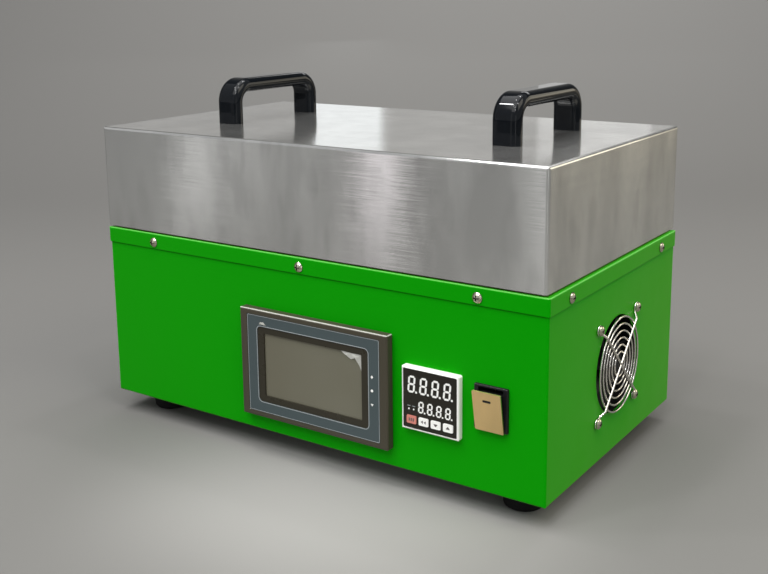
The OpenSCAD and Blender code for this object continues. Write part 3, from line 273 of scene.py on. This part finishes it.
# Metals
brushed("brushed_stainless", (0.595, 0.595, 0.58), rough=(0.17, 0.25), fine=2300, along=16, aniso=0.9,
        metal=0.9, depth=0.006 * MM, ragged=0.08, smooth_top=0.35, smears=0.22)
brushed("stainless_well", (0.58, 0.57, 0.55), rough=(0.28, 0.42), fine=700, along=14, aniso=0.5)
brushed("raw_aluminium", (0.72, 0.73, 0.74), rough=(0.3, 0.45), fine=500, along=20, aniso=0.4)
brushed("gold_plate", (0.86, 0.62, 0.30), rough=(0.34, 0.46), fine=1500, along=60, aniso=0.3,
        depth=0.006 * MM)
metal("plated_steel", (0.6, 0.6, 0.58), rough=0.4, vary=0.1, grain=90, depth=0.02 * MM)
metal("chrome_wire", srgb(222, 218, 210), rough=0.12, vary=0.04)
metal("brass_parts", (0.66, 0.47, 0.19), rough=0.3)
# Screws with painted shade in their recesses
recess_shaded_metal("nickel_screws", srgb(196, 190, 170), rough=0.16)

# Moulded parts: name, colour, roughness, scale and depth of the grain, change of tone, gloss
moulded("black_grip", (0.003, 0.004, 0.0055), 0.05, 60, 0.03 * MM, 0.2, 0.2)
moulded("foot_rubber", (0.008, 0.008, 0.008), 0.75, 700, 0.06 * MM, 0.12, 0.15)
moulded("seal_rubber", (0.02, 0.02, 0.02), 0.8, 500, 0.06 * MM, 0.12, 0.2)
moulded("black_plastic", (0.009, 0.009, 0.01), 0.38, 1200, 0.03 * MM, 0.12, 0.25)
moulded("ivory_plastic", srgb(247, 247, 242), 0.35, 1500, 0.02 * MM, 0.03)
moulded("red_key", srgb(205, 128, 116), 0.4, 1500, 0.02 * MM, 0.05)
moulded("controller_face", srgb(36, 34, 28), 0.25, 1500, 0.01 * MM, 0.08, 0.25)
moulded("panel_overlay", srgb(68, 79, 81), 0.38, 2200, 0.02 * MM, 0.06, 0.25)
moulded("panel_mask", srgb(48, 45, 36), 0.3, 900, 0.01 * MM, 0.08, 0.25)
bezel = moulded("panel_bezel", srgb(66, 62, 51), 0.4, 1400, 0.03 * MM, 0.08, 0.25)
# Painted highlight: the bezel turns near white on its rounded upper edges.
bezel.color(srgb(66, 62, 51), srgb(205, 205, 198), bezel.fold_highlight_mask(0.8, start=0.3, end=0.7))

# Inner parts, in the same order of values
moulded("circuit_board", (0.012, 0.11, 0.05), 0.3, 300, 0.05 * MM, 0.25)
moulded("insulation", (0.72, 0.68, 0.58), 0.95, 160, 1.2 * MM, 0.15)
moulded("ceramic_tube", (0.85, 0.83, 0.78), 0.45, 800, 0.02 * MM, 0.04)

# Inks, in the same order of values, and what is clear
moulded("white_ink", srgb(240, 240, 236), 0.5, 2000, 0.01 * MM, 0.03)
moulded("pale_line", srgb(150, 156, 158), 0.4, 2000, 0.01 * MM, 0.05)
moulded("key_ink", srgb(92, 88, 84), 0.5, 2000, 0.01 * MM, 0.05)
display_glass()
clear_film()

for part in frame["record"]["subparts"]:
    piece = frame["nodes"][part["node"]]
    piece.data.materials.clear()
    piece.data.materials.append(LOOKS[part["material_slot"]].mat)


# ---------- outlines in X and Z, and meshes from them, in millimetres ----------

def moved(outline, x, z):
    return [(x + px, z + pz) for px, pz in outline]


def bar(cx, cz, w, h):
    """Outline of an upright rectangle."""
    return moved([(-w / 2, -h / 2), (w / 2, -h / 2), (w / 2, h / 2), (-w / 2, h / 2)], cx, cz)


def rounded(cx, cz, w, h, r, steps=6):
    """Outline of a rounded rectangle."""
    points = []
    for quarter, (sx, sz) in enumerate(((1, 1), (-1, 1), (-1, -1), (1, -1))):
        for i in range(steps + 1):
            a = math.pi / 2 * (quarter + i / steps)
            x = cx + sx * (w / 2 - r) + r * math.cos(a)
            z = cz + sz * (h / 2 - r) + r * math.sin(a)
            points.append((x, z))
    return points


def digit_bar(a, b, width):
    """Outline of one bar of a digit, with pointed ends at a and b."""
    ax, az = a
    bx, bz = b
    tip = width / 2
    length = math.hypot(bx - ax, bz - az)
    ux, uz = (bx - ax) / length, (bz - az) / length
    px, pz = -uz * width / 2, ux * width / 2
    return [(ax, az), (ax + ux * tip + px, az + uz * tip + pz), (bx - ux * tip + px, bz - uz * tip + pz),
            (bx, bz), (bx - ux * tip - px, bz - uz * tip - pz), (ax + ux * tip - px, az + uz * tip - pz)]


def eight(x, z, w, h, stroke, slant):
    """Outlines of a digit's seven bars and its point; x, z is the lower left corner."""
    gap = stroke * 0.1
    left, right = x + stroke / 2, x + w - stroke / 2
    low, middle, top = z + stroke / 2, z + h / 2, z + h - stroke / 2
    level = [((left, bar_z), (right, bar_z)) for bar_z in (low, middle, top)]
    upright = [((side, a), (side, b)) for side in (left, right) for a, b in ((low, middle), (middle, top))]
    lean = slant / h
    outlines = []
    for (ax, az), (bx, bz) in level + upright:
        dx, dz = (gap, 0) if az == bz else (0, gap)
        outline = digit_bar((ax + dx, az + dz), (bx - dx, bz - dz), stroke)
        outlines.append([(px + (pz - z) * lean, pz) for px, pz in outline])
    point_w = stroke * 1.05
    outlines.append(rounded(x + w + stroke * 0.95, z + stroke * 0.55, point_w, point_w, stroke * 0.3, 3))
    return outlines


def digit_row(x, z, pitch, **size):
    """Outlines of four digits in a row."""
    return [outline for i in range(4) for outline in eight(x + pitch * i, z, **size)]


def slab(bm, outline, y_back, y_front):
    """A flat solid with its outline in X and Z, between two depths along Y."""
    back = [bm.verts.new((x, y_back, z)) for x, z in outline]
    front = [bm.verts.new((x, y_front, z)) for x, z in outline]
    bm.faces.new(back)
    bm.faces.new(front[::-1])
    count = len(outline)
    for i in range(count):
        j = (i + 1) % count
        bm.faces.new((back[i], back[j], front[j], front[i]))


def ring(bm, outer, inner, y_back, y_front):
    """A flat closed band between two outlines with as many points."""
    loops = []
    for outline in (outer, inner):
        loops.append([bm.verts.new((x, y_back, z)) for x, z in outline])
        loops.append([bm.verts.new((x, y_front, z)) for x, z in outline])
    count = len(outer)
    for a, b in ((0, 1), (1, 3), (3, 2), (2, 0)):
        for i in range(count):
            j = (i + 1) % count
            bm.faces.new((loops[a][i], loops[a][j], loops[b][j], loops[b][i]))


def creased(bm, place, points, triangles):
    """A scrap of thin film; a point's values are its place in X and Z and how far it lifts forward."""
    cx, y, cz = place
    verts = [bm.verts.new((cx + x, y - lift, cz + z)) for x, z, lift in points]
    for corners in triangles:
        bm.faces.new([verts[i] for i in corners])


# ---------- pieces ----------

PRINT_ROOT = 0.05  # how far a print reaches into its face, in millimetres
INK_RISE = 0.12  # how far the controller's prints stand in front of its face
MARK_RISE = 0.08  # the same for the marks on keys and panel
LINE_RISE = 0.05  # the same for the panel's lines


def in_metres(bm):
    bmesh.ops.scale(bm, vec=(MM, MM, MM), verts=bm.verts)


def piece_from(name, bm, look, body):
    """Turns a mesh being built into a piece that rides on a body."""
    bmesh.ops.recalc_face_normals(bm, faces=bm.faces)
    data = bpy.data.meshes.new(name)
    bm.to_mesh(data)
    bm.free()
    obj = bpy.data.objects.new(name, data)
    bpy.context.scene.collection.objects.link(obj)
    data.materials.append(LOOKS[look].mat)
    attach(obj, body)
    return obj


def front_of(node):
    """The middle of a node in X and Z, and its front in Y, in millimetres."""
    low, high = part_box(node)
    return (low.x + high.x) / 2 / MM, (low.z + high.z) / 2 / MM, low.y / MM


def printed(name, outlines, face_y, rise, look, body):
    """Thin prints on a face that looks forward."""
    bm = bmesh.new()
    for outline in outlines:
        slab(bm, outline, face_y + PRINT_ROOT, face_y - rise)
    in_metres(bm)
    piece_from(name, bm, look, body)


def controller_prints():
    """Two rows of digits and two lamps with a line over each, placed from the controller's middle."""
    x, z, _ = front_of("ctrl_frame")
    y = front_of("ctrl_face")[2]
    lamps_x = (x - 17.7, x - 13.6)
    digits = digit_row(x - 19.0, z + 4.5, 9.9, w=6.1, h=12.9, stroke=1.5, slant=1.1)
    digits += digit_row(x - 10.0, z - 9.7, 7.5, w=4.5, h=8.9, stroke=1.2, slant=0.6)
    lamps = [rounded(lamp_x, z - 8.0, 1.3, 1.3, 0.6, 4) for lamp_x in lamps_x]
    lines = [rounded(lamp_x, z - 5.6, 2.6, 0.5, 0.2, 3) for lamp_x in lamps_x]
    printed("controller_digits", digits + lamps, y, INK_RISE, "white_ink", "base")
    printed("controller_lamp_marks", lines, y, INK_RISE, "pale_line", "base")


def key_marks():
    """Three bars, two arrowheads to the left, one down and one up, placed from each key's middle."""
    marks = (
        [bar(x, 0, 1.0, 2.4) for x in (-1.7, 0, 1.7)],
        [[(x, 0), (x + 1.8, -1.2), (x + 1.8, 1.2)] for x in (-2.2, 0.2)],
        [[(-1.8, 0.8), (0, -1.3), (1.8, 0.8)]],
        [[(-1.8, -0.8), (1.8, -0.8), (0, 1.3)]],
    )
    for number, outlines in enumerate(marks, 1):
        key = f"key_{number}"
        x, z, y = front_of(key)
        placed = [moved(outline, x, z) for outline in outlines]
        printed(f"{key}_mark", placed, y, MARK_RISE, "key_ink", key)


def rocker_mark():
    """Black mark set into the rocker's plate, whose top leans forward at rest."""
    lean = math.radians(10.5)
    plate_front, mark_up = 7.577, 8.51  # from the pivot, across the plate and along it
    thickness, sunk = 0.3, 0.28
    joints = frame["record"]["behaviour"]["joints"]
    pivot = next(joint for joint in joints if joint["name"] == "rocker_tilt")["pos_m"]
    up = Vector((0, -math.sin(lean), math.cos(lean)))
    out = Vector((0, -math.cos(lean), -math.sin(lean)))
    bm = bmesh.new()
    slab(bm, rounded(0, 0, 6.3, 1.8, 0.7), 0.0, -thickness)
    in_metres(bm)
    origin = Vector(pivot) + up * (mark_up * MM) + out * ((plate_front - sunk) * MM)
    basis = Matrix((Vector((1, 0, 0)), -out, up)).transposed().to_4x4()
    bmesh.ops.transform(bm, matrix=Matrix.Translation(origin) @ basis, verts=bm.verts)
    piece_from("rocker_mark", bm, "black_plastic", "rocker")


# The overlay's window, where the mask and the display show, in millimetres
WINDOW_W = 106.2
WINDOW_H = 62.0
WINDOW_R = 3.5


def panel_lines():
    """Pale lines along the overlay's edge and round its window."""
    x, z, y = front_of("hmi_overlay")
    low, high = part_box("hmi_overlay")
    w, h = (high.x - low.x) / MM, (high.z - low.z) / MM
    edge = (w - 0.5, h - 0.5, 1.2), (w - 1.3, h - 1.3, 0.8)
    window = ((WINDOW_W + 1.5, WINDOW_H + 1.5, WINDOW_R + 0.7),
              (WINDOW_W + 0.3, WINDOW_H + 0.3, WINDOW_R + 0.1))
    bm = bmesh.new()
    for outer, inner in (edge, window):
        ring(bm, rounded(x, z, *outer), rounded(x, z, *inner), y + PRINT_ROOT, y - LINE_RISE)
    in_metres(bm)
    piece_from("panel_lines", bm, "pale_line", "base")


def panel_marks():
    """A diamond, a dot and a triangle, one under the other, right of the window."""
    x, z, y = front_of("hmi_overlay")
    column_x = x + 56.6
    marks = (
        [(-1.1, 10.5), (0, 9.1), (1.1, 10.5), (0, 11.9)],
        rounded(0, -0.1, 2.2, 2.2, 1.05, 5),
        [(-1.2, -10.3), (0, -12.2), (1.2, -10.3)],
    )
    placed = [moved(outline, column_x, z) for outline in marks]
    printed("panel_marks", placed, y, MARK_RISE, "white_ink", "base")


def panel_film():
    """Protective film: a creased corner over the display, upper right, and a wrinkle at the upper left."""
    x, z, overlay_y = front_of("hmi_overlay")
    film_y = front_of("hmi_mask")[2] + 1.0  # the display lies 1.2 mm behind the mask's front
    bm = bmesh.new()
    creased(
        bm, (x + WINDOW_W / 2 - 6.4, film_y, z + WINDOW_H / 2 - 5.4),
        ((-19.4, 0.0, 0.05), (-14.5, -2.4, 0.9), (-9.7, -5.3, 0.35), (-5.5, -3.4, 1.2),
         (0.0, -0.3, 0.15), (-9.0, -0.5, 0.5), (-2.2, -9.0, 0.2), (-0.1, -14.0, 0.05)),
        ((0, 1, 5), (1, 2, 5), (2, 3, 5), (3, 4, 5), (3, 6, 4), (6, 7, 4)),
    )
    creased(
        bm, (x - WINDOW_W / 2 + 3.4, overlay_y, z + WINDOW_H / 2 + 1.6),
        ((-1.5, 0.0, 0.1), (0.4, 2.2, 0.7), (3.6, 2.4, 0.5), (5.6, 0.1, 0.1), (1.8, 0.6, 0.9)),
        ((0, 1, 4), (1, 2, 4), (2, 3, 4), (3, 0, 4)),
    )
    in_metres(bm)
    film = piece_from("panel_film_corner", bm, "clear_film", "base")
    film.modifiers.new("thickness", "SOLIDIFY").thickness = 0.08 * MM


controller_prints()
key_marks()
rocker_mark()
panel_lines()
panel_marks()
panel_film()


# ---------- floor, light and camera, in metres ----------

FLOOR_FRONT = -9.0
FLOOR_HALF_W = 12.0
FLOOR_TURN = math.radians(34)
BEND_START = 1.0
BEND_R = 2.4
BEND_STEPS = 32
BACKDROP_TOP = 6.0


def floor_look():
    """Grey floor with a painted pool of light: paler in a soft patch in front of the object."""
    painted_pool_color = (0.30, 0.2945, 0.2835)
    floor_color = (0.156, 0.153, 0.1465)
    look = Look("floor_grey", 0.9, Specular_IOR_Level=0.1)
    away = look.vector_calc("DISTANCE", look.coords, (0.06, -0.15, 0.0))
    ragged_away = look.calc("ADD", away, look.spread(look.noise(1.2), -0.04, 0.04))
    fade = look.spread(ragged_away, 0.0, 1.0, start=0.02, end=0.28, interpolation_type="SMOOTHERSTEP")
    # Painted pool of light: the colour fades from the pale pool to grey away from the object.
    look.color(painted_pool_color, floor_color, fade)
    return look


def sweep():
    """Floor that curves up into a backdrop."""
    profile = [(FLOOR_FRONT, 0.0), (BEND_START, 0.0)]
    for i in range(1, BEND_STEPS + 1):
        a = math.pi / 2 * i / BEND_STEPS
        profile.append((BEND_START + BEND_R * math.sin(a), BEND_R - BEND_R * math.cos(a)))
    profile.append((BEND_START + BEND_R, BACKDROP_TOP))
    cos, sin = math.cos(FLOOR_TURN), math.sin(FLOOR_TURN)
    sides = (-FLOOR_HALF_W, FLOOR_HALF_W)
    bm = bmesh.new()
    rows = [[bm.verts.new((x * cos - y * sin, x * sin + y * cos, z)) for x in sides] for y, z in profile]
    for a, b in zip(rows, rows[1:]):
        bm.faces.new((a[0], a[1], b[1], b[0]))
    data = bpy.data.meshes.new("sweep")
    bm.to_mesh(data)
    bm.free()
    for polygon in data.polygons:
        polygon.use_smooth = True
    obj = bpy.data.objects.new("sweep", data)
    bpy.context.scene.collection.objects.link(obj)
    data.materials.append(floor_look().mat)


def pale_world(color, strength):
    world = bpy.data.worlds.new("studio")
    bpy.context.scene.world = world
    world.use_nodes = True
    background = world.node_tree.nodes["Background"]
    background.inputs["Color"].default_value = (*color, 1)
    background.inputs["Strength"].default_value = strength


def lamp(name, place, target, size, power, color=(1, 1, 1), spread=180):
    """A rectangular lamp that the camera doesn't see; its power is in watts."""
    data = bpy.data.lights.new(name, "AREA")
    data.shape = "RECTANGLE"
    data.size, data.size_y = size
    data.energy = power
    data.color = color
    data.spread = math.radians(spread)
    obj = bpy.data.objects.new(name, data)
    bpy.context.scene.collection.objects.link(obj)
    obj.location = place
    aim = Vector(target) - Vector(place)
    obj.rotation_euler = aim.to_track_quat("-Z", "Y").to_euler()
    obj.visible_camera = False


sweep()
pale_world((0.97, 0.98, 1.0), 0.54)

lamp("overhead", (-0.1, 0.0, 2.2), (0, 0, 0), (1.8, 1.6), 24)
lamp("front_top", (0.0, -1.4, 2.0), (0, 0, 0.1), (2.0, 1.4), 26)
lamp("right_top", (1.6, 0.0, 1.7), (0, 0, 0.1), (1.4, 1.1), 18, (1.0, 0.95, 0.82))
lamp("right_back", (1.2, 1.6, 0.6), (0.2, 0, 0.15), (0.8, 0.7), 3.9, (1.0, 0.93, 0.76))
lamp("right_glow", (0.80, 1.45, 0.3), (0.21, 0, 0.12), (0.6, 0.4), 0.4, (1.0, 0.86, 0.62))
lamp("corner_strip", (1.05, -0.95, 0.35), (0.21, -0.116, 0.25), (0.05, 0.6), 0.5)
lamp("back_top", (-0.3, 3.0, 2.2), (0, 0, 0.3), (2.4, 0.5), 12)
lamp("backdrop_high", (0.2, 0.8, 2.8), (-1.4, 2.6, 1.9), (1.2, 0.8), 55, spread=120)

# Upright strips whose reflections are the soft bands on the brushed front of the lid
lamp("strip_left", (-0.688, -0.728, 0.17), (-0.098, -0.116, 0.2), (0.06, 0.3), 0.032)
lamp("strip_left_wide", (-0.614, -0.752, 0.17), (-0.05, -0.116, 0.2), (0.22, 0.3), 0.038)
lamp("strip_middle", (-0.402, -0.818, 0.17), (0.077, -0.116, 0.2), (0.05, 0.3), 0.084, (1.0, 0.94, 0.985))
lamp("strip_right", (-0.099, -0.898, 0.37), (0.235, -0.116, 0.3), (0.14, 0.7), 0.21)

# Panels behind, seen in the top of the lid
lamp("back_wide", (-1.1, 1.6, 0.5), (0, 0, 0.3), (1.8, 0.5), 0.41)
lamp("back_left", (-1.22, 1.6, 0.5), (0, 0, 0.3), (0.2, 0.5), 0.24, (0.92, 0.97, 1.0))
lamp("back_right", (-0.5, 1.6, 0.5), (0, 0, 0.3), (0.26, 0.5), 0.12)

# Small ceiling lamps, whose reflections are the bright points on the grips
SPOT_SIDE = 0.14
SPOT_POWER = 6
SPOT_PLACES = (
    (-1.0, -0.9, 2.3), (-0.5, -1.4, 2.4), (0.3, -1.6, 2.3), (1.0, -0.6, 2.4),
    (0.2, 0.6, 2.5), (0.9, -1.9, 2.0), (-0.4, -0.2, 2.5),
)
for i, place in enumerate(SPOT_PLACES):
    lamp(f"ceiling_spot_{i}", place, (0, 0, 0.2), (SPOT_SIDE, SPOT_SIDE), SPOT_POWER)

# The photograph's camera: its directions, and its place from the middle of the box on the floor
CAMERA_RIGHT = Vector((0.82719, 0.56183, -0.01018))
CAMERA_DOWN = Vector((0.09952, -0.1643, -0.98138))
CAMERA_FORWARD = Vector((-0.55304, 0.81078, -0.19182))
CAMERA_X = 0.50105
CAMERA_Y = -0.73795
CAMERA_Z = 0.36571
SENSOR_W = 36  # in millimetres
FOCAL_LENGTH = 50.306  # in millimetres
LENS_SHIFT = -0.1133  # as a share of the sensor's width


def photo_camera():
    data = bpy.data.cameras.new("camera")
    data.sensor_width = SENSOR_W
    data.lens = FOCAL_LENGTH
    data.shift_y = LENS_SHIFT
    obj = bpy.data.objects.new("camera", data)
    bpy.context.scene.collection.objects.link(obj)
    low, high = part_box("deck_cap")
    place = Vector(((low.x + high.x) / 2 + CAMERA_X, (low.y + high.y) / 2 + CAMERA_Y, CAMERA_Z))
    turn = Matrix((CAMERA_RIGHT, -CAMERA_DOWN, -CAMERA_FORWARD)).transposed().to_4x4()
    obj.matrix_world = Matrix.Translation(place) @ turn
    bpy.context.scene.camera = obj


photo_camera()
bpy.context.scene.view_settings.view_transform = "Standard"

bpy.context.view_layer.update()
